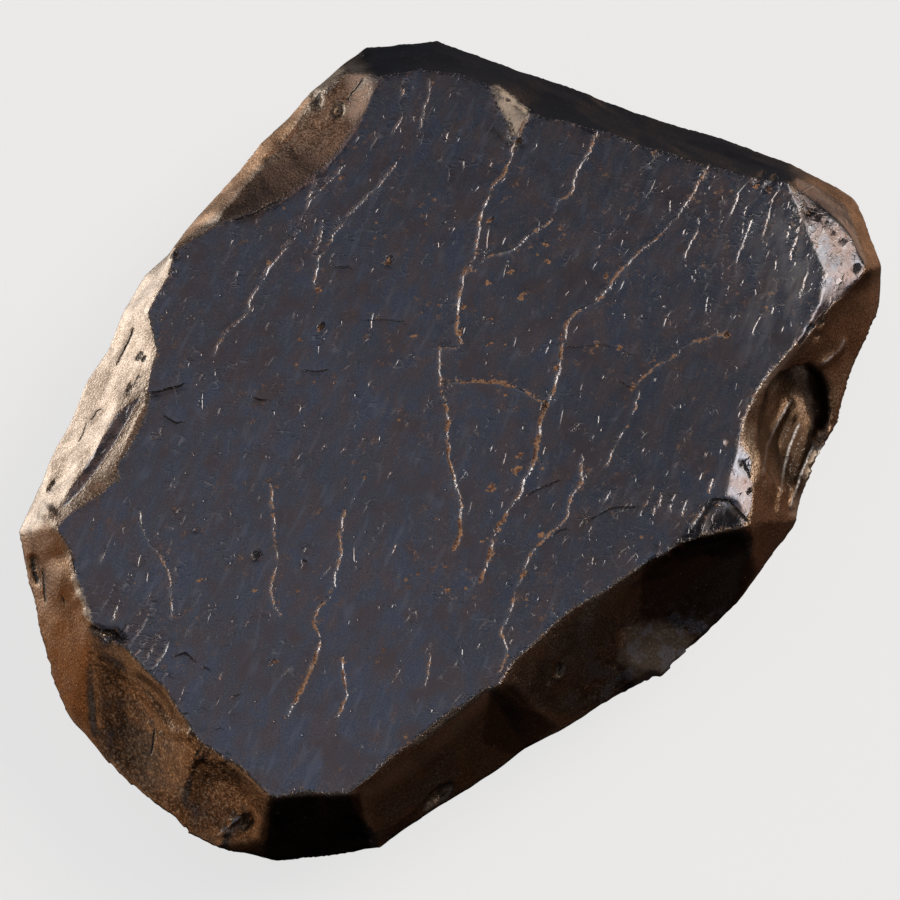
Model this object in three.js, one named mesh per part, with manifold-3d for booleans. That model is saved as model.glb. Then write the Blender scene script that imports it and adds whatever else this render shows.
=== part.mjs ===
// A hand specimen of polished iron ore: one solid slab with a flat ground face, knapped slopes falling
// outwards all round to its widest line, a rough underside drawn in below it and a flat foot to rest on.
// Millimetres, +Z up, +X along the slab. The origin is on the resting plane, under the middle of the slab.
import * as THREE from "three";
import { ImprovedNoise } from "three/addons/math/ImprovedNoise.js";
import { mergeVertices } from "three/addons/utils/BufferGeometryUtils.js";
import Module from "manifold-3d";

const wasm = await Module();
wasm.setup();

// Driving dimensions
const FACE_HEIGHT = 22; // the polished face above the resting plane
const EDGE_BEVEL = 0.5; // width and depth of the worn edge where no broad bevel is given
const STEP_ROUND = 2.4; // longest mesh step round the slab
const SLOPE_ROWS = 5; // mesh rows from the rim of the polish down to the widest line
const BELLY_ROWS = 3; // mesh rows from the widest line down to the foot
const FOOT_SHARE = 0.76; // outline of the foot as a share of the widest line
const FOOT_WANDER = 0.04; // how far that share strays either way
const EDGE_WANDER = 0.22; // how far the edge of the polish strays either way
const SLOPE_ROUGHNESS = 0.35; // height of the lumps on the slopes
const BELLY_SWELL = 2.2; // how far the underside swells out between its two lines
const BELLY_ROUGHNESS = 0.7; // height of the lumps on the underside
const LUMP_SPACING = 7; // distance from one lump to the next
const HOLLOW_ROUGHNESS = 0.4; // how far the surface of a broad hollow strays from an even curve

// An arris is a line between two neighbouring slope facets. It runs from the rim of the polish out to the
// widest line, which lies `drop` below the polished face. Where the rim is worn to a broad bevel, `polish`
// is where the flat face ends and `rimDrop` is how far the bevel has fallen at the rim.
function arris(rim, widest, drop, polish = null, rimDrop = EDGE_BEVEL) {
  return { rim, widest, drop, polish, rimDrop };
}

// Clockwise from above, starting at the north-east corner.
const ARRISES = [
  // East side: one long even slope
  arris([22, 37.5], [25.5, 45], 6),
  arris([27, 35], [34, 40], 7),
  arris([30.5, 31], [37.5, 34.5], 8),
  arris([32.5, 27], [40, 30], 8.5),
  arris([33.5, 21], [43, 25.5], 9),
  arris([38, 14], [46, 20.5], 9.5),
  arris([42.5, 7.5], [50.4, 12.4], 9),
  arris([46.5, 1], [55.3, 7], 8.5),
  arris([49, -4], [56.6, 0], 8),
  arris([52, -8], [58.5, -6.5], 8),
  // South-east corner: the polish rolls over into a broad bevel
  arris([53, -13], [60, -10.5], 8, [49.5, -12.5], 1.6),
  arris([53.5, -16], [60.5, -13], 8.2, [48.8, -14.5], 1.9),
  arris([53.5, -18.5], [60, -15], 8.5, [48, -16.5], 2.2),
  arris([51.5, -23.5], [57, -22], 9.5, [46, -21], 2.5),
  arris([44.5, -24.5], [53.5, -25.5], 10, [43, -23.5], 1.2),
  // South side, east of its bend: a wide slope under a narrow bevel
  arris([38.5, -26], [48, -29], 10, [38, -25.5], 0.9),
  arris([30.5, -27.5], [43.2, -31.7], 10, [29.5, -27], 0.9),
  arris([25.5, -29.5], [37.4, -34.5], 9.5, [25, -29], 1),
  arris([22, -34], [30.3, -37.3], 9, [20.5, -32], 1.1),
  arris([19, -37.5], [26.2, -39.4], 9, [16.5, -35], 1.2),
  arris([16.5, -39.5], [23.7, -41.2], 9, [15.5, -38], 1.2),
  arris([14.5, -40.5], [16.5, -42.8], 10.5, [13, -39], 0.8),
  // South side, west of its bend: long dark facets
  arris([10, -38], [12.6, -43.7], 10.5),
  arris([4, -36], [6.6, -44.8], 11),
  arris([-3, -35.5], [-1.5, -45], 11),
  arris([-12, -35.5], [-9, -43.4], 10.5),
  arris([-18.7, -36.9], [-14.8, -42.8], 10.5),
  arris([-21.6, -35.6], [-20.8, -41.3], 10.5),
  arris([-24.5, -35.4], [-24.6, -41.3], 10.5),
  arris([-28.5, -35.4], [-28.2, -41.1], 10, [-29, -34.4], 0.7),
  arris([-34.5, -35.5], [-32.4, -40.4], 10, [-35, -34.5], 0.7),
  arris([-41, -36], [-41.5, -39.6], 10, [-41.5, -35], 0.7),
  // South-west corner: one short flat facet
  arris([-45, -32], [-46.6, -36.6], 10.5),
  arris([-49, -29.5], [-52.8, -32.4], 10.5),
  // West end: rounded in plan
  arris([-49.5, -24], [-56, -27], 11),
  arris([-51.3, -19], [-57.7, -23.5], 11),
  arris([-50.5, -11.5], [-60, -17], 11),
  arris([-51, -4.5], [-60.6, -12.6], 11),
  arris([-52.3, 0], [-60.2, -8.5], 10.8),
  arris([-51.9, 1.5], [-60, -4], 10.5),
  arris([-51, 4], [-58.5, 2], 10.5),
  arris([-50, 7], [-56, 9], 10),
  arris([-48.5, 10], [-53, 14.5], 9.5),
  arris([-48, 13.5], [-50.5, 19.5], 9),
  // North side, west of its waist: a bevelled flake scar above an even slope
  arris([-47.5, 16], [-47.5, 21], 8.5, [-45, 13.5], 1.6),
  arris([-41.5, 19], [-44.5, 22.5], 8, [-40, 13], 2.4),
  arris([-38, 20], [-40.5, 25.5], 8, [-35.5, 16], 2.2),
  arris([-33.5, 20.5], [-36.5, 27.5], 8, [-32, 18.5], 1.6),
  arris([-28.5, 22], [-32.5, 30], 8, [-29, 20], 0.9),
  arris([-24.5, 24.5], [-27, 32], 8),
  arris([-22, 29.5], [-22.9, 34.3], 6.5),
  arris([-17, 32], [-17.8, 36.3], 5.5),
  arris([-14, 34.5], [-13.5, 36.5], 5),
  // North side, east of its waist: a broad rough shoulder above a narrow slope
  arris([-7.5, 34], [-9.8, 38.3], 6),
  arris([-2, 36], [-3.2, 39.9], 6, [-2, 31], 1.6),
  arris([2, 37], [0.8, 40.8], 6, [1.5, 30.5], 2.4),
  arris([7.5, 38.5], [5.8, 42.3], 6, [7, 30.5], 2.8),
  arris([11.5, 40], [11, 43], 6, [11.5, 31.5], 2.9),
  arris([15, 41.5], [15.5, 44], 5.5, [15, 33], 2.8),
  arris([20, 41.5], [21, 44.5], 5.5, [18.5, 35], 2.4),
];

// Soft dents in the slopes: the middle of each, how far it reaches and how deep it is.
const DENTS = [
  { middle: [-55, -10, 16.5], reach: 10.5, depth: 2.4 }, // the bowl in the west end
  { middle: [-53, -25, 17], reach: 7, depth: 1.5 },
  { middle: [-12, -39, 15], reach: 8, depth: 0.8 },
];

// A hollow left by a flake or chip. `at` is a point on the surface around it. The surface there faces
// `facing` degrees anticlockwise from +X and leans back by `lean` degrees from upright. `length` runs level
// along the surface and `width` up it, both turned anticlockwise by `turn` degrees. `shelve` is 0 for steep
// sides and nears 1 for sides that shelve gently.
function hollow(at, facing, lean, length, width, depth, { turn = 0, shelve = 0.6 } = {}) {
  return { at, facing, lean, length, width, depth, turn, shelve };
}

const HOLLOWS = [
  // East side: a broad flat flake, and a nick in the rim
  hollow([45, 12, 17], 27, 46, 28, 20, 0.6, { shelve: 0.9 }),
  hollow([33.2, 22.9, 22], 20, 62, 4.5, 3, 0.8),
  // South side, east of its bend: a deep shell-shaped hollow, a cleft in its east wall and three runnels
  hollow([29.9, -32, 16.2], -40, 43, 18, 11, 1.9, { turn: -12, shelve: 0.45 }),
  hollow([35.8, -29.6, 15.6], -64, 44, 7, 2.4, 2.2, { turn: 52, shelve: 0.3 }),
  hollow([24, -37.2, 17.4], -58, 42, 9, 2, 0.7, { turn: 8, shelve: 0.4 }),
  hollow([26.5, -37.5, 15.5], -58, 42, 10, 1.8, 0.8, { turn: 3, shelve: 0.4 }),
  hollow([30, -36.6, 14.4], -58, 42, 8, 1.7, 0.7, { turn: -3, shelve: 0.4 }),
  // South side, west of its bend: long flakes, each turned west of the slope so that they meet in arrises
  hollow([8, -40.6, 16], -106, 34, 20, 15, 2.1, { turn: 4, shelve: 0.7 }),
  hollow([-9.5, -38.6, 17.4], -90, 40, 17, 18, 0.5, { shelve: 0.9 }),
  hollow([-12.4, -38.1, 18.5], -88, 41, 2.4, 1.3, 0.9, { turn: 60, shelve: 0.2 }),
  hollow([-32.5, -38.2, 17], -95, 31, 20, 16, 0.6, { shelve: 0.9 }),
  hollow([-33, -39.8, 13.6], -93, 25, 6, 2.4, 1.2, { turn: 10, shelve: 0.3 }),
  hollow([-6, -43.6, 11], -92, 5, 7, 4, 0.4),
  // The polish above it: a thin flake with a sharp arched edge
  hollow([13.4, -38.8, 21.9], -60, 85, 11, 8.6, 0.7, { shelve: 0.85 }),
  // South-west corner: the underside sweeps up, and a pit
  hollow([-53.8, -30.6, 9.5], -138, 0, 10, 6, 0.9, { shelve: 0.8 }),
  hollow([-52, -28.2, 15.4], -160, 34, 1.4, 3, 1.1, { turn: -20, shelve: 0.2 }),
  // West end: a crack that notches the rim
  hollow([-51, -1.8, 22], -150, 80, 1.1, 6.5, 1, { turn: -35, shelve: 0.3 }),
  // North side: a broad flat flake west of the waist, and two pits in the shoulder east of it
  hollow([-39, 23, 16.5], 114, 46, 15, 13, 0.5, { shelve: 0.9 }),
  hollow([14.2, 40.7, 19.3], 110, 60, 2.8, 1, 1, { turn: 25, shelve: 0.2 }),
  hollow([15.2, 37.2, 20.6], 100, 73, 3, 1, 1, { turn: 35, shelve: 0.2 }),
];

// Broad, nearly flat flakes off the underside, one after another round the slab.
const BELLY_FLAKES = 14;
const BELLY_LEAN = -38; // the underside faces this far below the horizon
const BELLY_FLAKE = { length: 25, width: 20, depth: 2.3 };

// Smooth noise of about -1 to 1 that depends only on the place, so that it never opens a seam.
const noise = new ImprovedNoise();
function lumps(x, y, z, spacing, seed) {
  const coarse = noise.noise(x / spacing + seed, y / spacing, z / spacing);
  const fine = noise.noise((2.3 * x) / spacing, (2.3 * y) / spacing + seed, (2.3 * z) / spacing);
  return 1.3 * coarse + 0.6 * fine;
}

// Where the flat polish ends at an arris: as given, or EDGE_BEVEL in from the rim.
function polishEnd({ rim, widest, polish }) {
  if (polish) return new THREE.Vector3(...polish, FACE_HEIGHT);
  const inward = new THREE.Vector2(rim[0] - widest[0], rim[1] - widest[1]).setLength(EDGE_BEVEL);
  return new THREE.Vector3(rim[0] + inward.x, rim[1] + inward.y, FACE_HEIGHT);
}

// The foot under a point of the widest line, on the resting plane.
function footUnder(widest) {
  const share = FOOT_SHARE + FOOT_WANDER * lumps(widest.x, widest.y, 0, 30, 4.7);
  return new THREE.Vector3(widest.x * share, widest.y * share, 0);
}

// The four levels of the slab's profile at every step round it.
function profiles() {
  const corners = ARRISES.map((a) => ({
    polish: polishEnd(a),
    rim: new THREE.Vector3(...a.rim, FACE_HEIGHT - a.rimDrop),
    widest: new THREE.Vector3(...a.widest, FACE_HEIGHT - a.drop),
  }));
  const steps = [];
  corners.forEach((from, i) => {
    const to = corners[(i + 1) % corners.length];
    const count = Math.max(1, Math.ceil(from.widest.distanceTo(to.widest) / STEP_ROUND));
    for (let k = 0; k < count; k++) {
      const level = (name) => from[name].clone().lerp(to[name], k / count);
      const widest = level("widest");
      steps.push({ polish: level("polish"), rim: level("rim"), widest, foot: footUnder(widest) });
    }
  });
  return steps;
}

function dentAt(p) {
  const falloff = ({ middle, reach }) => {
    const share = p.distanceTo(new THREE.Vector3(...middle)) / reach;
    return share < 1 ? (1 - share * share) ** 2 : 0;
  };
  return DENTS.reduce((sum, dent) => sum + dent.depth * falloff(dent), 0);
}

// One column of vertices, from the polish down over the rim and the widest line to the foot.
function column({ polish, rim, widest, foot }) {
  const outward = new THREE.Vector3(widest.x, widest.y, 0).normalize();
  const wander = EDGE_WANDER * lumps(rim.x, rim.y, 0, 3.5, 6.2);
  polish.addScaledVector(outward, wander);
  rim.addScaledVector(outward, wander);
  const points = [polish, rim];
  for (let row = 1; row <= SLOPE_ROWS; row++) {
    const p = rim.clone().lerp(widest, row / SLOPE_ROWS);
    const height = row < SLOPE_ROWS ? SLOPE_ROUGHNESS : SLOPE_ROUGHNESS / 3;
    const shift = height * lumps(p.x, p.y, p.z, LUMP_SPACING, 1.3) - dentAt(p);
    points.push(p.addScaledVector(outward, shift));
  }
  for (let row = 1; row < BELLY_ROWS; row++) {
    const share = row / BELLY_ROWS;
    const p = widest.clone().lerp(foot, share);
    p.addScaledVector(outward, BELLY_SWELL * Math.sin(Math.PI * share));
    points.push(p.addScaledVector(outward, BELLY_ROUGHNESS * lumps(p.x, p.y, p.z, LUMP_SPACING, 8.1)));
  }
  points.push(foot);
  return points;
}

function slabGeometry(steps) {
  const columns = steps.map(column);
  const rows = columns[0].length;
  const positions = columns.flat().flatMap((p) => [p.x, p.y, p.z]);
  const at = (c, r) => (c % columns.length) * rows + r;
  const index = [];
  columns.forEach((_, c) => {
    for (let r = 0; r < rows - 1; r++) {
      index.push(at(c, r), at(c + 1, r), at(c + 1, r + 1), at(c, r), at(c + 1, r + 1), at(c, r + 1));
    }
  });
  // The flat polish and the flat foot close the slab
  for (const [row, facingUp] of [[0, true], [rows - 1, false]]) {
    const outline = columns.map((points) => new THREE.Vector2(points[row].x, points[row].y));
    for (const [a, b, c] of THREE.ShapeUtils.triangulateShape(outline, [])) {
      const turnsLeft = THREE.ShapeUtils.area([outline[a], outline[b], outline[c]]) > 0;
      index.push(...(turnsLeft === facingUp ? [a, b, c] : [a, c, b]).map((i) => at(i, row)));
    }
  }
  const geometry = new THREE.BufferGeometry();
  geometry.setAttribute("position", new THREE.Float32BufferAttribute(positions, 3));
  return geometry.setIndex(index);
}

// The ellipsoid that cuts a hollow: its footprint on the surface is length by width.
function hollowGeometry({ at, facing, lean, length, width, depth, turn, shelve }) {
  const footprint = Math.sqrt(1 - shelve * shelve);
  const reach = depth / (1 - shelve);
  const segments = Math.round(10 + 0.45 * Math.max(length, width));
  const geometry = new THREE.SphereGeometry(1, segments, Math.round(0.6 * segments)).rotateX(Math.PI / 2);
  geometry.scale(length / 2 / footprint, width / 2 / footprint, reach).translate(0, 0, shelve * reach);
  // From lying flat with its length along X: turn it, tip it back and face it the right way
  geometry.rotateZ(THREE.MathUtils.degToRad(turn)).rotateX(THREE.MathUtils.degToRad(90 - lean));
  geometry.rotateZ(THREE.MathUtils.degToRad(facing + 90)).translate(...at);
  return roughened(geometry, HOLLOW_ROUGHNESS * Math.min(1, width / 8));
}

// Moves every vertex up or down a little, by an amount that depends only on its place.
function roughened(geometry, height) {
  const { position } = geometry.attributes;
  const p = new THREE.Vector3();
  for (let i = 0; i < position.count; i++) {
    p.fromBufferAttribute(position, i);
    p.z += height * lumps(p.x, p.y, p.z, 5, 3.6);
    p.y += height * lumps(p.x, p.y, p.z, 5, 9.4);
    p.x += height * lumps(p.x, p.y, p.z, 5, 0.8);
    position.setXYZ(i, p.x, p.y, p.z);
  }
  return geometry;
}

function bellyFlakes(steps) {
  return Array.from({ length: BELLY_FLAKES }, (_, i) => {
    const step = Math.floor((i * steps.length) / BELLY_FLAKES);
    const { widest, foot } = steps[step];
    const along = steps[(step + 3) % steps.length].widest.clone().sub(steps.at(step - 3).widest);
    const outward = new THREE.Vector3(-along.y, along.x, 0).normalize();
    const vary = lumps(widest.x, widest.y, 5, 20, 2.9);
    const at = widest.clone().lerp(foot, 0.6).addScaledVector(outward, BELLY_SWELL);
    const facing = THREE.MathUtils.radToDeg(Math.atan2(outward.y, outward.x)) + 10 * vary;
    const lean = BELLY_LEAN + 12 * lumps(widest.x, widest.y, 9, 15, 7.3);
    const { length, width, depth } = BELLY_FLAKE;
    return hollow(at.toArray(), facing, lean, length * (1 + 0.3 * vary), width, depth, { shelve: 0.88 });
  });
}

function solidOf(geometry) {
  geometry.deleteAttribute("normal");
  geometry.deleteAttribute("uv");
  const merged = mergeVertices(geometry, 1e-4);
  return new wasm.Manifold(
    new wasm.Mesh({
      numProp: 3,
      vertProperties: merged.attributes.position.array,
      triVerts: new Uint32Array(merged.index.array),
    }),
  );
}

function geometryOf(solid) {
  const { vertProperties, triVerts } = solid.getMesh();
  const geometry = new THREE.BufferGeometry();
  geometry.setAttribute("position", new THREE.BufferAttribute(vertProperties, 3));
  geometry.setIndex(new THREE.BufferAttribute(triVerts, 1));
  geometry.computeVertexNormals();
  return geometry;
}

function oreSlab() {
  const steps = profiles();
  let solid = solidOf(slabGeometry(steps));
  for (const cut of [...HOLLOWS, ...bellyFlakes(steps)]) {
    solid = solid.subtract(solidOf(hollowGeometry(cut)));
  }
  const geometry = geometryOf(solid);
  geometry.computeBoundingBox();
  const middle = geometry.boundingBox.getCenter(new THREE.Vector3());
  geometry.translate(-middle.x, -middle.y, 0);
  const material = new THREE.MeshStandardMaterial({ color: 0x33343c, roughness: 0.3, metalness: 0.6 });
  const mesh = new THREE.Mesh(geometry, material);
  mesh.name = "iron_ore_slab";
  return mesh;
}

const specimen = new THREE.Group();
specimen.add(oreSlab());

export default specimen;
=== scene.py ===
"""A polished slab of iron ore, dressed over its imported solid: one refined mesh with its relief, veins,
cracks and dashes, a metallic stone material, a soft studio and a pale floor."""

import math

import bmesh
import bpy
import numpy as np
from mathutils import Matrix, Vector


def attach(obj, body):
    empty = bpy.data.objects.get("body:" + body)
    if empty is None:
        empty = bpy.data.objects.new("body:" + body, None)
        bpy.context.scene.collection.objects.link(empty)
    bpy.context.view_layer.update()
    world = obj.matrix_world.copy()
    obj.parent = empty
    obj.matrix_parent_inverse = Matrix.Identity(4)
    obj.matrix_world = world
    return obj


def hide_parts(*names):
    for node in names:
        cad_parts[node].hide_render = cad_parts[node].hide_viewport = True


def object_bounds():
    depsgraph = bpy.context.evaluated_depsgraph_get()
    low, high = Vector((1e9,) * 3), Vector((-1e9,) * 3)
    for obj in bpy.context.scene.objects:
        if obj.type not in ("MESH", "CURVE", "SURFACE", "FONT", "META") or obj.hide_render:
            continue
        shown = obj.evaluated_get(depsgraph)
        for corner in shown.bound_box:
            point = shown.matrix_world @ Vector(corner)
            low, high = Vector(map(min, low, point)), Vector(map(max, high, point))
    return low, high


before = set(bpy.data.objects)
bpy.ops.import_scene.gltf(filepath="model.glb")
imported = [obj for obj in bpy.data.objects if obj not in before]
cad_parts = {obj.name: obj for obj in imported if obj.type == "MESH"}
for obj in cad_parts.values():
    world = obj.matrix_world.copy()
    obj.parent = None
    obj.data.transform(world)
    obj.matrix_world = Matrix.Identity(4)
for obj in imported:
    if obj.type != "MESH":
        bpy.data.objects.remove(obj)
cad_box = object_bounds()

NODE = "iron_ore_slab"
MM = 0.001

# ---- the view
IMAGE_SIDE = 900
LENS_MM = 100.0
SENSOR_MM = 36.0
CAMERA_AZIMUTH = -40.0
CAMERA_ELEVATION = 66.0
CAMERA_DISTANCE = 311.0
CAMERA_TARGET = (-3.3, -6.6, 14.0)

# ---- the mesh, in millimetres
VOXEL = 0.43
SMOOTH_ROUNDS = 7
CREASE_SPREAD = 0.12  # normals further apart than about this belong to an arris that stays sharp
MOST_TRIANGLES = 192_000
TOP_MARGIN = 0.12  # how far below the solid's flat top the polish lies, so that its relief stays inside
TOP_LEVELS = (15.0, 22.0)  # the heights between which that lowering grows
BOX_MARGIN = 0.005

# ---- the polished face: where it starts and is full
FACE_TILTS = (0.84, 0.92)  # upward share of the normal
FACE_LEVELS = (16.0, 18.0)  # height in mm
SEEN_TILTS = (0.02, 0.15)  # share of the normal that points at the camera, where marks start and are full

# ---- relief: height and size in mm of each kind of wave
FACE_SWELL = (0.045, 17.0)
FACE_WAVE = (0.02, 6.0)
FACE_RIPPLE = (0.005, 2.2)
SIDE_LUMPS = (0.028, 5.5)
SIDE_GRAIN = (0.018, 1.7)
UNDER_TILTS = (0.05, 0.4)
UNDER_EXTRA = 4.0  # how much rougher the underside is
BROKEN_EXTRA = 2.2  # how much rougher the crumbly stone is
RIM_CHIPS = (0.05, 1.6)
RIM_NICKS = (0.03, 0.8)
RIM_LOSS = 0.02

# ---- lines, in pixels
LINE_ENDS = 6.0  # over which each end of a line fades, or over a third of a short line
LINE_FADE = (4.0, 8.0)  # distances at which a line starts to fade for the material and is gone
VEIN_REACH = 16.0
VEIN_SWAY = 2.7
CRACK_SWAY = 1.2
RIB_SWAY = 0.8
GLINT_RIB = 0.13  # ribs higher than this get the painted glint too, in mm


def camera_axes():
    """Right, up and back of the camera, as unit vectors."""
    a = math.radians(CAMERA_AZIMUTH)
    e = math.radians(CAMERA_ELEVATION)
    back = np.array([math.sin(a) * math.cos(e), -math.cos(a) * math.cos(e), math.sin(e)])
    right = np.array([math.cos(a), math.sin(a), 0.0])
    return right, np.cross(back, right), back


def to_pixels(points):
    """Where points in millimetres fall in the camera's 900 by 900 image."""
    right, up, back = camera_axes()
    away = points - (np.array(CAMERA_TARGET) + back * CAMERA_DISTANCE)
    focal = LENS_MM / SENSOR_MM * IMAGE_SIDE
    depth = -(away @ back)
    half = IMAGE_SIDE / 2
    return np.stack([half + focal * (away @ right) / depth, half - focal * (away @ up) / depth], 1)


def seen_share(normals):
    """1 where the stone faces the camera and 0 where it faces away."""
    return ramp(normals @ camera_axes()[2], *SEEN_TILTS)


# ---- noise
class Noise:
    """Gradient noise in space, with its own seed, about -1 to 1."""

    GAIN = 1.6

    def __init__(self, seed):
        rng = np.random.default_rng(seed)
        self.order = rng.permutation(256)
        slopes = rng.normal(size=(256, 3))
        self.slopes = slopes / np.linalg.norm(slopes, axis=1, keepdims=True)

    def __call__(self, points, size):
        p = points / size
        cell = np.floor(p).astype(np.int64)
        part = p - cell
        ease = part * part * part * (part * (part * 6 - 15) + 10)
        total = np.zeros(len(points))
        for corner in range(8):
            step = np.array([corner & 1, corner >> 1 & 1, corner >> 2 & 1])
            at = (cell + step) & 255
            index = self.order[(self.order[(self.order[at[:, 0]] + at[:, 1]) & 255] + at[:, 2]) & 255]
            weight = np.prod(np.where(step == 1, ease, 1 - ease), axis=1)
            total += weight * np.einsum("ij,ij->i", self.slopes[index], part - step)
        return total * self.GAIN

    def doubled(self, points, size):
        """Noise with a second one on it, half as large and half as high."""
        return self(points, size) + self(points + 37.0, size * 0.5) * 0.5


def ramp(value, low, high):
    """0 below low, 1 above high, and a smooth rise between them."""
    t = np.clip((value - low) / (high - low), 0, 1)
    return t * t * (3 - 2 * t)


# ---- marks, in image pixels
# Thin raised veins on the polished face: height as a share of the tallest, share of rust, then the line.
VEINS = [
    (0.91, 0.55, [(530, 110), (515, 143), (504, 172), (493, 184), (482, 207), (477, 238), (473, 258),
        (460, 278), (459, 310), (454, 333), (460, 347)]),
    (0.73, 0.3, [(460, 347), (439, 349), (439, 373), (443, 402)]),
    (1, 0.9, [(443, 402), (448, 430), (450, 461), (456, 487), (461, 507), (459, 533), (450, 552)]),
    (0.64, 0.35, [(598, 133), (576, 175), (568, 194), (558, 201), (549, 221), (527, 238), (515, 250),
        (487, 258), (467, 273)]),
    (0.64, 0.5, [(710, 161), (688, 201), (677, 218), (651, 241), (634, 255), (622, 267), (611, 287),
        (593, 304), (573, 313), (563, 327), (562, 341)]),
    (0.91, 1, [(562, 341), (560, 364), (556, 387), (545, 408), (540, 430), (536, 450), (527, 473), (519, 493),
        (504, 516), (493, 539), (487, 565), (479, 585)]),
    (0.73, 0.5, [(344, 507), (341, 533), (337, 565), (333, 588), (324, 602), (314, 622), (321, 639)]),
    (0.73, 0.9, [(321, 639), (313, 662), (304, 685), (293, 703), (283, 720)]),
    (0.64, 0.8, [(344, 651), (341, 671), (346, 694), (341, 708), (333, 721)]),
    (0.55, 0.4, [(583, 450), (579, 479), (573, 493), (566, 519), (545, 536), (533, 548), (523, 570),
        (517, 588), (510, 611), (502, 634), (507, 657), (497, 677)]),
    (0.55, 0.3, [(139, 507), (143, 533), (158, 556), (169, 573), (172, 593), (172, 622)]),
    (0.64, 0.1, [(301, 212), (300, 230), (283, 253), (264, 273), (255, 293), (244, 316), (222, 336),
        (212, 359)]),
    (0.55, 0.05, [(400, 155), (379, 187), (356, 207), (336, 230), (319, 258), (313, 290)]),
    (0.55, 0.05, [(402, 83), (400, 115), (393, 138)]),
    (0.45, 0.05, [(430, 75), (425, 109), (418, 135)]),
    (0.36, 0.7, [(440, 385), (470, 382), (500, 381), (530, 395), (545, 405)]),
    (0.36, 0.6, [(727, 334), (694, 340), (660, 365), (635, 385)]),
    (0.45, 0.2, [(430, 640), (428, 660), (424, 690)]),
    (0.45, 0.2, [(268, 480), (272, 520), (276, 560), (270, 590), (280, 620)]),
    (0.6, 0, [(347, 163), (330, 182), (310, 200), (302, 216)]),
    (0.6, 0, [(320, 164), (315, 185), (304, 203)]),
    (0.55, 0.1, [(324, 216), (319, 240), (311, 259)]),
    (0.5, 0.1, [(302, 210), (302, 223), (290, 245), (279, 259)]),
    (0.6, 0, [(175, 537), (164, 557)]),
    (0.8, 0, [(117, 603), (110, 625)]),
    (0.5, 0, [(104, 545), (100, 566)]),
    (0.5, 0, [(223, 669), (216, 682)]),
    (0.7, 0, [(806, 190), (802, 215), (794, 240), (788, 262)]),
    (0.6, 0, [(795, 205), (790, 228), (782, 250)]),
    (0.6, 0, [(773, 196), (768, 220), (760, 240)]),
    (0.6, 0, [(740, 180), (735, 200), (728, 222)]),
    (0.5, 0, [(812, 255), (806, 275), (798, 300)]),
    (0.5, 0, [(752, 215), (744, 240), (735, 268)]),
    (0.5, 0, [(700, 215), (694, 238), (684, 262)]),
    (0.6, 0.1, [(654, 483), (648, 500), (640, 520)]),
    (0.5, 0.1, [(664, 490), (659, 503), (653, 517)]),
    (0.5, 0.1, [(676, 491), (672, 503), (668, 517)]),
    (0.5, 0.1, [(687, 497), (684, 507), (680, 519)]),
    (0.6, 0.2, [(713, 476), (711, 486), (708, 496)]),
    (0.7, 0.6, [(704, 504), (697, 518), (689, 531)]),
    (0.5, 0.2, [(610, 487), (606, 496), (602, 506)]),
    (0.5, 0.2, [(640, 388), (634, 408), (627, 424), (617, 440), (608, 462), (604, 470)]),
]

# Grooves anywhere on the seen side, with painted shade in them: depth in mm, half width in pixels, then the
# line.
CRACKS = [
    (0.25, 1.1, [(146, 392), (158, 393), (168, 389), (176, 387), (187, 383)]),
    (0.15, 0.9, [(160, 416), (169, 419), (176, 424), (184, 422)]),
    (0.22, 1.1, [(230, 221), (243, 217), (255, 214), (267, 206), (285, 197)]),
    (0.12, 0.9, [(585, 522), (608, 510), (640, 505)]),
    (0.12, 0.9, [(526, 497), (541, 488), (562, 479)]),
    (0.1, 0.8, [(551, 536), (559, 531), (570, 526)]),
    (0.1, 0.8, [(616, 379), (624, 384), (634, 390)]),
    (0.06, 0.6, [(560, 348), (582, 346), (604, 345), (622, 350), (640, 360)]),
    (0.1, 0.9, [(331, 263), (337, 267), (346, 268), (353, 264)]),
    (0.07, 0.7, [(365, 321), (384, 320), (408, 322)]),
    (0.1, 0.9, [(140, 372), (136, 380), (133, 388)]),
    (0.3, 1, [(134, 327), (129, 341), (124, 351), (116, 366)]),
    (0.15, 0.8, [(142, 348), (138, 356), (144, 361)]),
    (0.2, 0.9, [(131, 385), (127, 397)]),
    (0.15, 0.7, [(104, 408), (98, 411), (91, 421)]),
    (0.12, 0.6, [(88, 422), (84, 432), (78, 443)]),
    (0.45, 2.4, [(31, 554), (33, 568), (37, 586)]),
    (0.25, 1.1, [(43, 567), (44, 585), (46, 605)]),
    (0.2, 0.9, [(63, 594), (66, 604)]),
    (0.25, 1.1, [(155, 727), (154, 740), (150, 757)]),
    (0.2, 1.6, [(199, 749), (197, 758)]),
    (0.15, 1, [(172, 657), (185, 652), (196, 664)]),
    (0.12, 1, [(201, 667), (211, 670)]),
    (0.12, 0.9, [(180, 715), (189, 712)]),
    (0.12, 0.9, [(232, 697), (241, 694)]),
    (0.15, 1.1, [(216, 727), (221, 727)]),
    (0.2, 1.2, [(365, 77), (352, 94), (347, 101)]),
    (0.15, 1, [(250, 396), (262, 401), (270, 398)]),
    (0.12, 0.9, [(300, 368), (318, 372), (330, 369)]),
    (0.3, 1.4, [(706, 503), (716, 500), (729, 502), (741, 514), (751, 523)]),
    (0.25, 1.5, [(742, 461), (747, 470), (750, 479)]),
    (0.5, 2.6, [(559, 661), (558, 669), (559, 678)]),
    (0.6, 2.6, [(88, 627), (100, 630), (113, 634), (128, 641)]),
]

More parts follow.
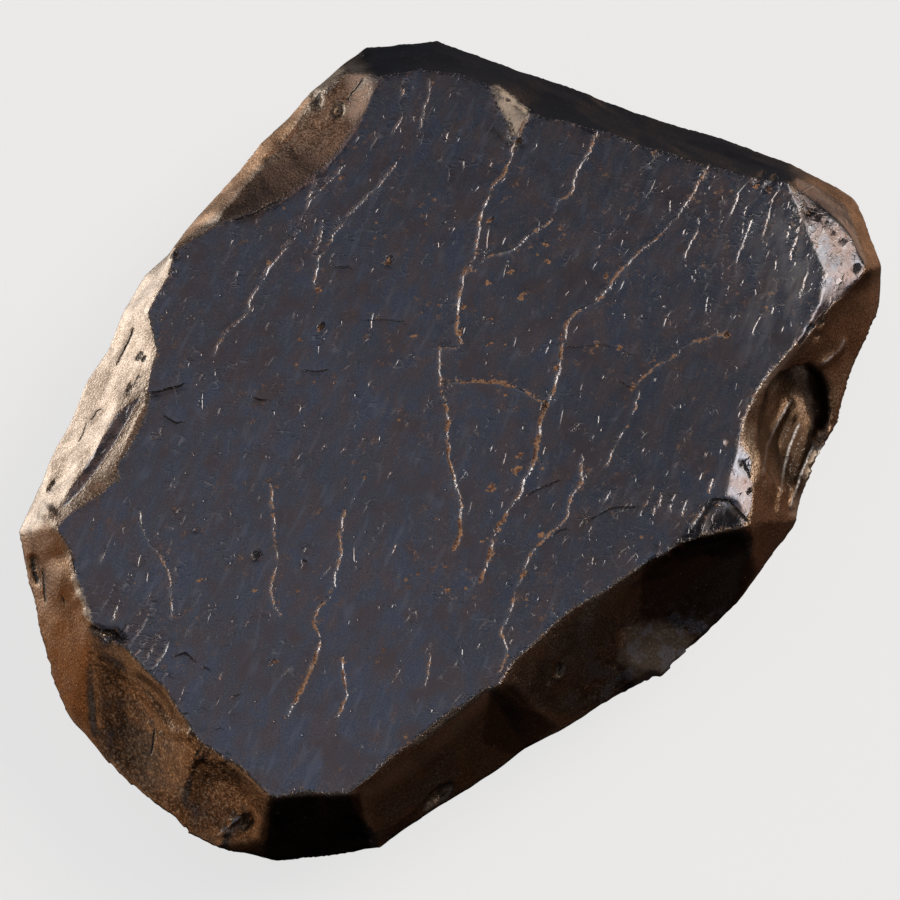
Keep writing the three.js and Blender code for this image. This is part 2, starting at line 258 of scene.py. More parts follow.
# Ribs of flowing stone and other raised lines: height in mm, half width in pixels, then the line.
RIBS = [
    (0.3, 2.6, [(845, 336), (840, 350), (828, 360), (820, 366)]),
    (0.14, 2, [(792, 398), (779, 420), (768, 443), (762, 480)]),
    (0.16, 2, [(800, 422), (790, 445), (785, 463), (780, 493)]),
    (0.22, 3, [(815, 443), (806, 462), (799, 480), (790, 512)]),
    (0.12, 1.8, [(775, 443), (772, 467), (770, 503)]),
    (0.1, 1.8, [(806, 415), (798, 436), (792, 455)]),
    (0.1, 1.8, [(765, 430), (760, 455), (757, 490)]),
    (0.09, 1.5, [(789, 404), (779, 424), (772, 450), (766, 495)]),
    (0.12, 1.6, [(797, 408), (789, 428), (782, 450), (777, 474), (774, 508)]),
    (0.1, 1.6, [(806, 428), (798, 452), (790, 478), (784, 505)]),
    (0.08, 1.5, [(778, 400), (768, 418), (762, 440), (759, 470)]),
    (0.3, 3.5, [(215, 838), (228, 826), (243, 814)]),
    (0.2, 1.2, [(156, 598), (149, 614), (143, 626), (135, 640), (127, 648)]),
    (0.26, 1.2, [(150, 634), (145, 644), (139, 653), (130, 661)]),
    (0.28, 1.2, [(160, 632), (155, 644), (148, 656), (139, 666)]),
    (0.26, 1.2, [(169, 638), (164, 652), (156, 665), (149, 675)]),
    (0.22, 1.2, [(169, 670), (162, 682)]),
    (0.22, 1.2, [(131, 622), (124, 634)]),
]

# Steps along arrises: drop in mm just right of a line drawn upwards, its reach in pixels, then the line.
STEPS = [
    (0.4, 12, [(94, 736), (90, 690), (88, 650)]),
    (0.38, 9, [(184, 808), (190, 780), (197, 757)]),
    (0.25, 7, [(262, 160), (286, 142), (298, 125), (311, 104), (313, 88)]),
    (0.42, 11, [(532, 104), (526, 121), (520, 134), (512, 146)]),
]

# Broad dips along bevels, or swells where negative: depth in mm, half width in pixels, then the line.
DIPS = [
    (0.36, 10, [(144, 396), (126, 424), (102, 455), (73, 489), (50, 511)]),
    (-0.3, 6, [(92, 656), (110, 664), (128, 675), (147, 694), (164, 722), (184, 738)]),
]

# Round pits: centre, radius in pixels, depth in mm.
PITS = [
    (197, 528, 3.2, 0.3), (257, 555, 4, 0.35), (305, 562, 3, 0.25), (389, 262, 4, 0.22),
    (519, 143, 4.5, 0.35), (491, 220, 2.5, 0.2), (545, 405, 4, 0.25), (322, 325, 3, 0.2), (272, 662, 3, 0.2),
    (727, 334, 3, 0.2), (317, 101, 4.5, 0.5), (338, 112, 3.5, 0.4), (175, 255, 3.5, 0.3),
    (172, 270, 3.5, 0.25), (141, 353, 2.2, 0.3), (138, 357, 2, 0.25), (144, 359, 2, 0.3),
    (130, 386, 2.5, 0.3), (53, 483, 2.4, 0.3), (50, 488, 2.4, 0.3), (808, 211, 8, 0.25), (818, 217, 2.4, 0.3),
    (827, 223, 2.2, 0.3), (833, 232, 2.4, 0.25), (843, 239, 2.6, 0.3), (857, 267, 3, 0.35),
    (810, 328, 3, 0.4), (821, 323, 3, 0.4), (817, 336, 3.4, 0.45), (742, 463, 2.6, 0.3), (750, 491, 2.4, 0.3),
    (735, 473, 1.8, 0.2), (245, 822, 5, 0.8), (440, 795, 4.5, 0.6), (757, 180, 3, 0.3), (768, 185, 3.5, 0.4),
    (775, 178, 3, 0.35), (763, 173, 2.5, 0.3), (508, 100, 2.6, 0.3), (107, 640, 4, 0.4), (208, 755, 3, 0.3),
]

# Spots of rust: centre and radius in pixels.
RUST_SPOTS = [
    (388, 262, 3.6), (545, 406, 4.4), (727, 334, 3.6), (490, 220, 2.6), (461, 332, 3), (463, 306, 3),
    (488, 283, 2.6), (526, 291, 2.8), (522, 297, 2.8), (633, 387, 3), (597, 343, 2.4), (620, 348, 2.8),
    (556, 368, 3.2), (562, 338, 2.8), (545, 245, 2.6), (547, 262, 2.4), (606, 275, 2.8), (510, 272, 2.4),
    (490, 345, 2.4), (505, 344, 2), (440, 347, 2), (413, 336, 2), (517, 470, 4), (491, 488, 4.4),
    (520, 455, 3), (541, 535, 3), (523, 575, 3.6), (484, 541, 3), (445, 567, 2.6), (448, 590, 2.8),
    (490, 320, 2.4), (420, 313, 2.2), (317, 290, 3), (320, 328, 3), (300, 340, 2.4), (270, 262, 2.4),
    (341, 178, 2.2), (275, 662, 3), (268, 666, 2.4), (256, 590, 2.4), (200, 580, 2.6), (344, 660, 2.8),
    (595, 136, 2.4), (707, 170, 2.2), (655, 153, 2), (757, 186, 2.8), (769, 191, 2.6), (518, 142, 3),
]

# Round knobs: centre, radius in pixels, height in mm.
KNOBS = [
    (820, 434, 7, 0.7), (191, 735, 3, 0.45), (200, 734, 3, 0.45), (225, 757, 3, 0.4), (162, 735, 2.4, 0.3),
    (151, 725, 2.2, 0.25), (199, 757, 2.6, 0.35), (75, 580, 4.5, 0.2), (80, 597, 5.5, 0.24),
    (87, 613, 4.4, 0.2), (655, 552, 3.4, 0.3), (668, 556, 3.4, 0.3), (680, 548, 3.4, 0.3), (234, 820, 4, 0.5),
    (227, 832, 3.6, 0.45), (242, 811, 3.4, 0.4), (222, 842, 3.4, 0.4),
]

# Parts of the stone with a look of their own, some of it painted shade, sheen and highlight: how strong, the
# softness of the border in pixels, the outline.
PARTS = {
    "painted_shade": [  # painted shade: facets made near black where they lie in deep shade
        (0.9, 5, [(640, 556), (690, 535), (744, 532), (758, 572), (720, 640), (664, 680), (640, 690),
            (638, 620)]),
        (0.85, 5, [(488, 690), (514, 682), (534, 707), (560, 726), (520, 760), (478, 745)]),
        (0.95, 3, [(268, 796), (360, 794), (373, 850), (280, 868), (214, 848), (258, 838)]),
        (0.55, 14, [(640, 556), (514, 682), (560, 730), (670, 690), (650, 600)]),
        (0.6, 16, [(488, 688), (360, 794), (372, 856), (530, 770)]),
        (0.95, 4, [(808, 362), (822, 368), (831, 385), (833, 420), (822, 434), (812, 425), (810, 400),
            (805, 380)]),
        (0.45, 7, [(790, 378), (806, 374), (812, 420), (800, 428), (788, 400)]),
        (0.9, 8, [(786, 405), (810, 425), (818, 450), (806, 492), (794, 500), (778, 470), (774, 432)]),
        (0.32, 14, [(20, 536), (48, 524), (68, 560), (78, 606), (30, 612)]),
        (0.35, 9, [(92, 650), (124, 664), (128, 766), (104, 752)]),
        (0.9, 9, [(622, 628), (690, 612), (700, 636), (664, 684), (640, 700), (612, 690)]),
        (0.55, 4, [(196, 756), (206, 760), (203, 800), (194, 806), (188, 796)]),
    ],
    "bluish": [  # blue-grey skin on the back and the upper chip, so deep that it is partly painted shade
        (0.95, 7, [(350, 40), (376, 90), (520, 130), (620, 146), (770, 200), (806, 180), (816, 170),
            (620, 90), (440, 28)]),
        (0.45, 14, [(296, 146), (320, 150), (332, 166), (300, 196), (256, 214), (216, 224), (234, 205),
            (268, 170)]),
    ],
    "shaded": [  # painted shade on the polish
        (0.85, 2.5, [(702, 509), (709, 502), (722, 501), (735, 508), (746, 525), (744, 533), (690, 541),
            (668, 551)]),
        (0.5, 3, [(122, 408), (146, 388), (121, 428), (100, 462), (72, 502), (60, 510), (64, 500), (79, 473),
            (96, 447)]),
        (0.75, 2, [(801, 205), (806, 201), (812, 202), (817, 208), (817, 216), (811, 219), (804, 215)]),
        (0.16, 70, [(520, 420), (640, 330), (720, 400), (700, 520), (560, 640), (480, 620)]),
    ],
    "flaky": [  # slopes with blue-grey flakes
        (0.8, 8, [(636, 604), (660, 604), (722, 612), (728, 632), (664, 676), (640, 684)]),
        (0.7, 10, [(590, 640), (640, 620), (650, 690), (600, 712), (570, 705)]),
        (0.8, 7, [(103, 700), (124, 702), (124, 768), (108, 764)]),
        (0.8, 7, [(190, 782), (214, 784), (214, 822), (194, 818)]),
    ],
    "warm": [  # redder brown
        (0.9, 6, [(18, 540), (48, 524), (70, 560), (92, 640), (90, 735), (60, 700), (30, 620)]),
        (0.5, 8, [(92, 640), (190, 735), (266, 802), (258, 842), (190, 830), (90, 740)]),
        (1, 5, [(300, 92), (312, 98), (290, 135), (262, 165), (228, 205), (180, 246), (170, 250),
            (230, 165)]),
        (0.45, 8, [(800, 176), (830, 185), (868, 215), (884, 265), (870, 340), (836, 425), (800, 500),
            (760, 570), (745, 532), (756, 480), (760, 420), (800, 350), (866, 262), (848, 205)]),
    ],
    "pale": [  # painted highlight on bevels, ribs and facets that catch the light
        (0.13, 9, [(140, 700), (188, 748), (184, 800), (140, 784)]),
        (0.9, 2.5, [(814, 450), (824, 446), (820, 464), (808, 496), (798, 518), (789, 515), (799, 490),
            (807, 466)]),
        (0.6, 6, [(350, 62), (378, 72), (384, 86), (372, 104), (354, 122), (346, 112), (352, 92), (344, 76)]),
        (0.25, 5, [(362, 792), (400, 766), (440, 736), (488, 690), (495, 697), (452, 742), (410, 776),
            (372, 800)]),
        (0.7, 2, [(838, 296), (824, 313), (800, 346), (776, 376), (758, 396), (748, 412), (743, 430),
            (738, 428), (744, 404), (756, 388), (774, 368), (798, 338), (820, 304)]),
    ],
    "dull_highlight": [  # pale and dull: a painted highlight on small facets that catch the light
        (0.95, 3.5, [(489, 86), (497, 84), (512, 95), (530, 110), (527, 122), (519, 137), (513, 132),
            (505, 116), (496, 104)]),
        (0.45, 5, [(503, 114), (526, 120), (520, 150), (510, 152)]),
        (0.7, 2.5, [(70, 568), (77, 574), (85, 592), (92, 612), (93, 627), (84, 618), (79, 600), (71, 582)]),
        (0.6, 1.8, [(592, 131), (601, 133), (597, 141), (590, 147)]),
        (0.5, 1.8, [(650, 149), (661, 153), (657, 163), (651, 158)]),
        (0.7, 1.8, [(703, 168), (712, 170), (706, 180), (700, 180)]),
    ],
    "painted_sheen": [  # painted sheen: soft pale streaks on the polish
        (0.9, 14, [(788, 206), (798, 224), (810, 246), (818, 268), (812, 294), (798, 318), (786, 328),
            (782, 300), (776, 262), (772, 230)]),
        (0.5, 16, [(742, 196), (772, 204), (776, 250), (782, 310), (766, 352), (744, 372), (738, 350),
            (756, 300), (748, 250)]),
    ],
    "matt": [  # without gloss
        (0.9, 7, [(626, 630), (660, 620), (686, 636), (694, 652), (664, 684), (640, 692), (622, 660)]),
    ],
    "broken": [  # coarse crumbly stone
        (1, 10, [(88, 650), (150, 690), (230, 765), (264, 800), (250, 842), (190, 830), (100, 760)]),
        (0.8, 10, [(636, 590), (722, 600), (728, 632), (664, 676), (600, 712), (570, 700)]),
        (0.8, 4, [(379, 76), (358, 66), (314, 92), (290, 135), (268, 160), (310, 160), (352, 128)]),
    ],
}
# In the same form, slopes that are polished too, and bevels that have lost their polish.
POLISHED_SLOPES = [
    (1, 2, [(797, 178), (815, 186), (845, 205), (854, 226), (866, 260), (863, 275), (846, 294), (832, 304),
        (822, 318), (812, 330), (800, 346), (790, 330), (800, 250)]),
    (1, 2.5, [(118, 412), (146, 388), (133, 406), (121, 428), (110, 446), (98, 464), (84, 484), (68, 504),
        (60, 510), (64, 500), (79, 473), (96, 447)]),
]
PLAIN_SLOPES = [
    (1, 2, [(490, 83), (500, 82), (512, 93), (531, 107), (527, 122), (519, 136), (511, 134), (505, 118),
        (496, 106)]),
    (1, 2, [(147, 386), (150, 398), (142, 424), (130, 447), (117, 464), (119, 478), (100, 494), (78, 508),
        (58, 520), (48, 517), (64, 504), (84, 484), (98, 464), (110, 446), (121, 428), (133, 406)]),
    (1, 4, [(379, 74), (355, 62), (190, 236), (172, 252), (216, 224), (280, 200), (330, 160), (366, 110)]),
]

# Where the dashes crowd together: centre, reach in pixels and how much thicker.
CROWDS = [
    (795, 250, 42, 2.6), (730, 215, 60, 1.1), (660, 190, 70, 0.6), (140, 640, 50, 1.3), (640, 510, 60, 1.2),
    (400, 110, 60, 1), (250, 250, 70, 0.8), (250, 450, 90, 0.5), (500, 650, 80, 0.7),
]
VEIN_HEIGHT = 0.04
PIT_SHARE = 0.7  # how much of a pit's depth the mesh gets
PIT_RUST = 0.3
RUST_HEIGHT = 0.05
DASHES = 3000
DASH_HEIGHT = 0.015
DASH_GRAIN = 66.0  # the dashes' mean turn in the image, in degrees
DASH_SPREAD = 13  # how much that turn varies
DASH_COLUMNS = (20, 880)
DASH_ROWS = (60, 830)
CROWD_ELSEWHERE = 0.3
CROWD_FULL = 2.2  # a crowd as thick as this keeps every dash
CELL = 32  # side in pixels of the cells that hold the points for the dashes
KEY_STEP = 1000  # a cell's key is its column times this, plus its row
NORMAL = ("nx", "ny", "nz")
CARRIED = ("polish", "rim", *NORMAL)  # the values that points keep while the mesh is thinned


# ---- mesh building
def remeshed():
    """The solid's surface in millimetres as an even grid of small triangles."""
    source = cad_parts[NODE]
    mesh = source.data.copy()
    mesh.transform(source.matrix_world)
    mesh.transform(Matrix.Scale(1 / MM, 4))
    holder = bpy.data.objects.new("remesh_holder", mesh)
    bpy.context.scene.collection.objects.link(holder)
    modifier = holder.modifiers.new("remesh", "REMESH")
    modifier.mode = "VOXEL"
    modifier.voxel_size = VOXEL
    graph = bpy.context.evaluated_depsgraph_get()
    fine = bpy.data.meshes.new_from_object(holder.evaluated_get(graph))
    bpy.data.objects.remove(holder)
    bpy.data.meshes.remove(mesh)
    work = bmesh.new()
    work.from_mesh(fine)
    bmesh.ops.triangulate(work, faces=work.faces, quad_method="SHORT_EDGE")
    work.to_mesh(fine)
    work.free()
    return fine


def points_of(mesh):
    out = np.empty(len(mesh.vertices) * 3)
    mesh.vertices.foreach_get("co", out)
    return out.reshape(-1, 3)


def faces_of(mesh):
    out = np.empty(len(mesh.loops), dtype=np.int32)
    mesh.loops.foreach_get("vertex_index", out)
    return out.reshape(-1, 3)


def unit(vectors):
    return vectors / np.maximum(np.linalg.norm(vectors, axis=1), 1e-12)[:, None]


def cross_products(points, faces):
    """Along each triangle's normal, and twice as long as its area."""
    a, b, c = (points[faces[:, k]] for k in range(3))
    return np.cross(b - a, c - a)


def at_corners(faces, corner, vectors, count):
    """The vectors of the faces, added up at the point that is this corner of theirs."""
    return np.stack([np.bincount(faces[:, corner], vectors[:, axis], count) for axis in range(3)], 1)


def point_normals(points, faces):
    cross = cross_products(points, faces)
    return unit(sum(at_corners(faces, k, cross, len(points)) for k in range(3)))


def neighbour_faces(faces):
    """The three faces that share an edge with each face."""
    count = len(faces)
    edges = np.concatenate([faces[:, [0, 1]], faces[:, [1, 2]], faces[:, [2, 0]]])
    owner = np.tile(np.arange(count), 3)
    side = np.repeat(np.arange(3), count)
    key = edges.min(1).astype(np.int64) * (edges.max() + 1) + edges.max(1)
    order = np.argsort(key, kind="stable")
    first, second = order[0::2], order[1::2]
    out = np.empty((count, 3), dtype=np.int64)
    out[owner[first], side[first]] = owner[second]
    out[owner[second], side[second]] = owner[first]
    return out


def smoothed(points, faces):
    """Points moved so that slight creases vanish and sharp arrises stay."""
    near = neighbour_faces(faces)
    corner_count = np.bincount(faces.ravel(), minlength=len(points))[:, None]
    for _ in range(SMOOTH_ROUNDS):
        cross = cross_products(points, faces)
        normals = unit(cross)
        areas = np.linalg.norm(cross, axis=1) / 2
        for _ in range(4):
            total = normals * areas[:, None]
            for k in range(3):
                other = normals[near[:, k]]
                apart = np.linalg.norm(other - normals, axis=1)
                weight = np.exp(-((apart / CREASE_SPREAD) ** 2)) * areas[near[:, k]]
                total += other * weight[:, None]
            normals = unit(total)
        centres = points[faces].mean(1)
        shift = np.zeros_like(points)
        for k in range(3):
            gap = np.einsum("ij,ij->i", normals, centres - points[faces[:, k]])
            shift += at_corners(faces, k, normals * gap[:, None], len(points))
        points = points + shift / corner_count
    return points


def write_mask(mesh, name, values):
    mesh.attributes.new(name, "FLOAT", "POINT").data.foreach_set("value", values.astype(np.float32))


def read_mask(mesh, name):
    out = np.empty(len(mesh.vertices), np.float32)
    mesh.attributes[name].data.foreach_get("value", out)
    return out.astype(float)


def thin(stone):
    """Takes triangles away where the surface is flattest, until it has no more than MOST_TRIANGLES."""
    thinner = stone.modifiers.new("thinner", "DECIMATE")
    thinner.ratio = min(1.0, MOST_TRIANGLES / len(stone.data.polygons))
    graph = bpy.context.evaluated_depsgraph_get()
    thinned = bpy.data.meshes.new_from_object(stone.evaluated_get(graph))
    stone.modifiers.clear()
    stone.data = thinned


# ---- relief and marks
def along_line(pixels, line, reach):
    """Points within reach of a line, with their distance from it, signed by side, and the way along it."""
    line = np.array(line, float)
    low, high = line.min(0) - reach, line.max(0) + reach
    near = np.flatnonzero(np.all((pixels > low) & (pixels < high), axis=1))
    spot = pixels[near]
    best = np.full(len(near), 1e9)
    side = np.ones(len(near))
    way = np.zeros(len(near))
    walked = 0.0
    for a, b in zip(line[:-1], line[1:]):
        step = b - a
        length = np.linalg.norm(step)
        t = np.clip((spot - a) @ step / length**2, 0, 1)
        gap = spot - a - t[:, None] * step
        far = np.linalg.norm(gap, axis=1)
        closer = far < best
        best = np.where(closer, far, best)
        side = np.where(closer, np.sign(step[0] * gap[:, 1] - step[1] * gap[:, 0]), side)
        way = np.where(closer, walked + t * length, way)
        walked += length
    inside = best < reach
    return near[inside], best[inside] * side[inside], way[inside], walked


def inside_outline(pixels, outline, soft):
    """1 inside an outline in pixels, 0 outside it, with a border that is soft by that many pixels."""
    corners = np.array(outline, float)
    within = np.zeros(len(pixels), dtype=bool)
    edge = np.full(len(pixels), 1e9)
    for a, b in zip(corners, np.roll(corners, -1, axis=0)):
        step = b - a
        t = np.clip((pixels - a) @ step / (step @ step), 0, 1)
        edge = np.minimum(edge, np.linalg.norm(pixels - a - t[:, None] * step, axis=1))
        crossing = (a[1] > pixels[:, 1]) != (b[1] > pixels[:, 1])
        if step[1]:
            within ^= crossing & (pixels[:, 0] < a[0] + (pixels[:, 1] - a[1]) * step[0] / step[1])
    return ramp(np.where(within, edge, -edge), -soft, soft)


def part_share(pixels, seen, parts):
    """How strongly each point belongs to any of the outlined parts."""
    share = np.zeros(len(pixels))
    for strength, soft, outline in parts:
        share = np.maximum(share, strength * inside_outline(pixels, outline, soft))
    return share * seen


class Lines:
    """The nearest line of a family at each point: the signed distance from it and how much of it shows."""

    FAR = 9.0

    def __init__(self, count):
        self.gap = np.full(count, self.FAR)
        self.near = np.zeros(count)
        self.rank = np.zeros(count)
        self.owner = np.zeros(count, dtype=int)
        self.lines = 0

    def add(self, index, gap, share):
        shown = share * (1 - ramp(np.abs(gap), *LINE_FADE))
        rank = shown / (1 + np.abs(gap))
        better = rank > self.rank[index]
        self.lines += 1
        self.owner[index[better]] = self.lines
        self.rank[index[better]] = rank[better]
        self.gap[index[better]] = gap[better]
        self.near[index[better]] = shown[better]

    def part(self, faces):
        """Keeps the distance from passing zero between two lines, which would draw a third."""
        first, second = faces.ravel(), np.roll(faces, -1, axis=1).ravel()
        clash = (self.owner[first] != self.owner[second]) & (self.gap[first] * self.gap[second] < 0)
        clash &= np.maximum(self.near[first], self.near[second]) > 0.005
        first, second = first[clash], second[clash]
        swap = self.rank[first] > self.rank[second]
        weak, strong = np.where(swap, second, first), np.where(swap, first, second)
        self.gap[weak] = np.sign(self.gap[strong]) * np.abs(self.gap[weak])
        self.near[weak] *= 0.5


class Marks:
    """Lines, pits, knobs and dashes on the seen side: their heights and what the material draws of them."""

    def __init__(self, points, normals, polish):
        count = len(points)
        self.points = points
        self.polish = polish
        self.pixels = to_pixels(points)
        self.seen = seen_share(normals)
        self.height, self.rust, self.rusted = np.zeros((3, count))
        self.veins, self.cracks, self.dashed = (Lines(count) for _ in range(3))
        self.wander = Noise(11)
        for vein in VEINS:
            self.vein(*vein)
        for crack in CRACKS:
            self.crack(*crack)
        for rib in RIBS:
            self.rib(*rib)
        for depth, width, line in DIPS:
            index, gap, share = self.beside(line, width * 3)
            self.height[index] -= depth * np.exp(-((gap / width) ** 2)) * share
        for drop, reach, line in STEPS:
            index, gap, share = self.beside(line, reach * 3)
            self.height[index] -= drop * np.exp(-np.maximum(gap, 0) / reach) * ramp(gap, -2.5, 2.5) * share
        for x, y, radius, depth in PITS:
            self.spot(x, y, radius, -PIT_SHARE * depth, PIT_RUST)
        for knob in KNOBS:
            self.spot(*knob)
        for x, y, radius in RUST_SPOTS:
            self.spot(x, y, radius, RUST_HEIGHT, 1.0)
        self.strew_dashes()

    def beside(self, line, reach):
        """The points near a line, their distances from it and how much of the line shows there."""
        index, gap, way, length = along_line(self.pixels, line, reach)
        fade = min(LINE_ENDS, length / 3)
        return index, gap, ramp(way, 0, fade) * ramp(length - way, 0, fade) * self.seen[index]

    def swayed(self, index, gap, sway):
        spot = self.points[index]
        return gap + sway * self.wander(spot, 2.6) + sway * 0.6 * self.wander(spot + 9.0, 0.9)

    def vein(self, height, rust, line):
        index, gap, share = self.beside(line, VEIN_REACH)
        gap = self.swayed(index, gap, VEIN_SWAY)
        spot = self.points[index]
        shown = share * height
        broken = 0.25 + 0.75 * ramp(self.wander(spot + 50.0, 1.9), -0.5, 0.15)
        self.veins.add(index, gap, shown * broken)
        self.height[index] += VEIN_HEIGHT * np.exp(-((gap / 3.5) ** 2)) * shown
        patch = ramp(self.wander(spot + 21.0, 1.7), -0.45, 0.3)
        here = (0.25 + 0.75 * rust) * np.exp(-((gap / 5.0) ** 2)) * patch * ramp(shown, 0, 0.4)
        self.rust[index] = np.maximum(self.rust[index], here)

    def crack(self, depth, width, line):
        index, gap, share = self.beside(line, width * 4 + 8)
        gap = self.swayed(index, gap, CRACK_SWAY)
        self.cracks.add(index, gap * 1.6 / width, share * min(1.0, depth / 0.16))
        deep = depth * min(1.0, width / 2.5)
        self.height[index] -= deep * np.exp(-((gap / (width + 1.2)) ** 2)) * share

    def rib(self, height, width, line):
        index, gap, share = self.beside(line, width * 3 + 6)
        self.height[index] += height * np.exp(-((gap / (width + 1)) ** 2)) * share * min(1.0, width / 2)
        if height > GLINT_RIB:
            self.dashed.add(index, 0.75 * self.swayed(index, gap, RIB_SWAY), share * min(1.2, height * 5))

    def spot(self, x, y, radius, height, rust=0.0):
        """A round pit or knob with a wavy border, drawn as a crack with painted shade where it is a small
        pit.
        """
        across = self.pixels - (x, y)
        index = np.flatnonzero(np.abs(across).max(1) < radius * 3)
        across = across[index]
        spot = self.points[index]
        across = across + radius * 0.5 * np.stack([self.wander(spot, 0.9), self.wander(spot + 5.0, 0.9)], 1)
        turned = across @ np.array([[0.6, 0.8], [-0.8, 0.6]])
        gap = np.hypot(turned[:, 0] * 0.75, turned[:, 1] * 1.25)
        shape = np.exp(-((gap / radius) ** 2)) * self.seen[index]
        self.height[index] += height * shape
        self.rusted[index] = np.maximum(self.rusted[index], rust * shape)
        if height < 0 and radius < 6:
            self.cracks.add(index, gap * 1.5 / radius, self.seen[index] * 0.9)

    def sort_into_cells(self):
        """Lists the polished points of each square cell of the image, to find those near a place quickly."""
        polished = np.flatnonzero(self.polish > 0.3)
        cells = np.floor(self.pixels[polished] / CELL).astype(int)
        keys = cells[:, 0] * KEY_STEP + cells[:, 1]
        order = np.argsort(keys, kind="stable")
        starts = np.flatnonzero(np.diff(keys[order], prepend=-1))
        self.cells = {keys[group[0]]: polished[group] for group in np.split(order, starts[1:])}

    def strew_dashes(self):
        """Short ridges with a painted glint, strewn along the grain of the polished face and thicker in some
        places.
        """
        self.sort_into_cells()
        rng = np.random.default_rng(5)
        made = 0
        while made < DASHES:
            x, y = rng.uniform(*DASH_COLUMNS), rng.uniform(*DASH_ROWS)
            crowd = CROWD_ELSEWHERE
            for cx, cy, reach, share in CROWDS:
                crowd += share * math.exp(-((x - cx) ** 2 + (y - cy) ** 2) / (2 * reach**2))
            if rng.uniform(0, CROWD_FULL) > crowd:
                continue
            made += 1
            length = rng.uniform(1.5, 4.5) * (1 + (rng.random() < 0.3) * rng.uniform(0.6, 2.4))
            tall = 0.18 + 0.82 * rng.random() ** 2.2
            turn = math.radians(DASH_GRAIN + rng.normal(0, DASH_SPREAD))
            self.dash(x, y, length, rng.uniform(0.5, 0.95), tall, turn, rng.uniform(-0.015, 0.015))

    def dash(self, x, y, length, width, tall, turn, bend):
        column, row = int(x // CELL), int(y // CELL)
        around = [(column + i) * KEY_STEP + row + j for i in (-1, 0, 1) for j in (-1, 0, 1)]
        near = [self.cells[key] for key in around if key in self.cells]
        if not near:
            return
        index = np.concatenate(near)
        across = self.pixels[index] - (x, y)
        close = np.abs(across).max(1) < length * 1.6 + 8
        index, across = index[close], across[close]
        if len(index) == 0:
            return
        u = across[:, 0] * math.cos(turn) - across[:, 1] * math.sin(turn)
        v = across[:, 0] * math.sin(turn) + across[:, 1] * math.cos(turn) + bend * u * u
        run = np.exp(-((u / length) ** 4)) * self.polish[index]
        self.dashed.add(index, v / width, tall * run)
        ridge = np.exp(-((v / 2.6) ** 2)) - 0.5 * np.exp(-(((v - 4.5) / 3.0) ** 2))
        self.height[index] += DASH_HEIGHT * tall * run * ridge


def wave(noise, points, height_and_size):
    height, size = height_and_size
    return height * noise(points, size)


def relief(points, normals, polish):
    """Heights in millimetres above the smooth stone."""
    broad = Noise(1)
    fine = Noise(2)
    face = wave(broad, points, FACE_SWELL) + wave(broad, points + 80.0, FACE_WAVE)
    face = face + wave(fine.doubled, points, FACE_RIPPLE)
    rough = wave(broad.doubled, points, SIDE_LUMPS) + wave(fine.doubled, points, SIDE_GRAIN)
    rough = rough * (1 + UNDER_EXTRA * ramp(-normals[:, 2], *UNDER_TILTS))
    rough = rough * (1 + BROKEN_EXTRA * part_share(to_pixels(points), 1.0, PARTS["broken"]))
    return polish * face + (1 - polish) * rough


def polish_of(points, normals):
    """The ground face: 1 on it, and on the gently sloping bevels round it."""
    face = ramp(normals[:, 2], *FACE_TILTS) * ramp(points[:, 2], *FACE_LEVELS)
    pixels = to_pixels(points)
    seen = seen_share(normals)
    face = np.maximum(face, part_share(pixels, seen, POLISHED_SLOPES))
    return face * (1 - part_share(pixels, seen, PLAIN_SLOPES))


def rim_of(polish, faces):
    """A soft band along the border of the polish: 1 on the border and 0 away from it."""
    soft = polish.copy()
    for _ in range(4):
        mean = soft[faces].mean(1)
        total = sum(np.bincount(faces[:, k], mean, len(soft)) for k in range(3))
        soft = total / np.maximum(np.bincount(faces.ravel(), minlength=len(soft)), 1)
    return 4 * soft * (1 - soft)


# ---- the stone
def displaced_mesh():
    """The solid's surface with its relief and marks, kept inside the solid's box."""
    mesh = remeshed()
    faces = faces_of(mesh)
    points = smoothed(points_of(mesh), faces)
    normals = point_normals(points, faces)
    polish = polish_of(points, normals)
    rim = rim_of(polish, faces)
    nicks = Noise(7)
    worn = rim * (wave(nicks, points, RIM_CHIPS) + wave(nicks, points, RIM_NICKS) - RIM_LOSS)
    height = relief(points, normals, polish) + Marks(points, normals, polish).height + worn
    moved = points + normals * height[:, None]
    moved[:, 2] -= TOP_MARGIN * ramp(points[:, 2], *TOP_LEVELS)
    low, high = (np.array(corner) / MM for corner in cad_box)
    moved = np.clip(moved, low + BOX_MARGIN, high - BOX_MARGIN)
    mesh.vertices.foreach_set("co", (moved * MM).ravel())
    mesh.update()
    for name, values in zip(CARRIED, (polish, rim, *normals.T)):
        write_mask(mesh, name, values)
    return mesh


def mark(mesh):
    """Writes what the material draws at the mesh's points: parts, rust and the three kinds of lines."""
    polish, *normals = (read_mask(mesh, name) for name in ("polish", *NORMAL))
    for name in NORMAL:
        mesh.attributes.remove(mesh.attributes[name])
    marks = Marks(points_of(mesh) / MM, np.stack(normals, 1), polish)
    for name, parts in PARTS.items():
        write_mask(mesh, name, part_share(marks.pixels, marks.seen, parts))
    write_mask(mesh, "rust", marks.rust)
    write_mask(mesh, "rusted", marks.rusted)
    for name, lines in (("vein", marks.veins), ("crack", marks.cracks), ("dash", marks.dashed)):
        lines.part(faces_of(mesh))
        write_mask(mesh, name + "_gap", lines.gap)
        write_mask(mesh, name + "_near", lines.near)


def build_stone():
    stone = bpy.data.objects.new("ore_stone", displaced_mesh())
    bpy.context.scene.collection.objects.link(stone)
    thin(stone)
    mark(stone.data)
    stone.data.polygons.foreach_set("use_smooth", np.ones(len(stone.data.polygons), dtype=bool))
    stone.data.materials.clear()
    stone.data.materials.append(stone_material())
    return stone


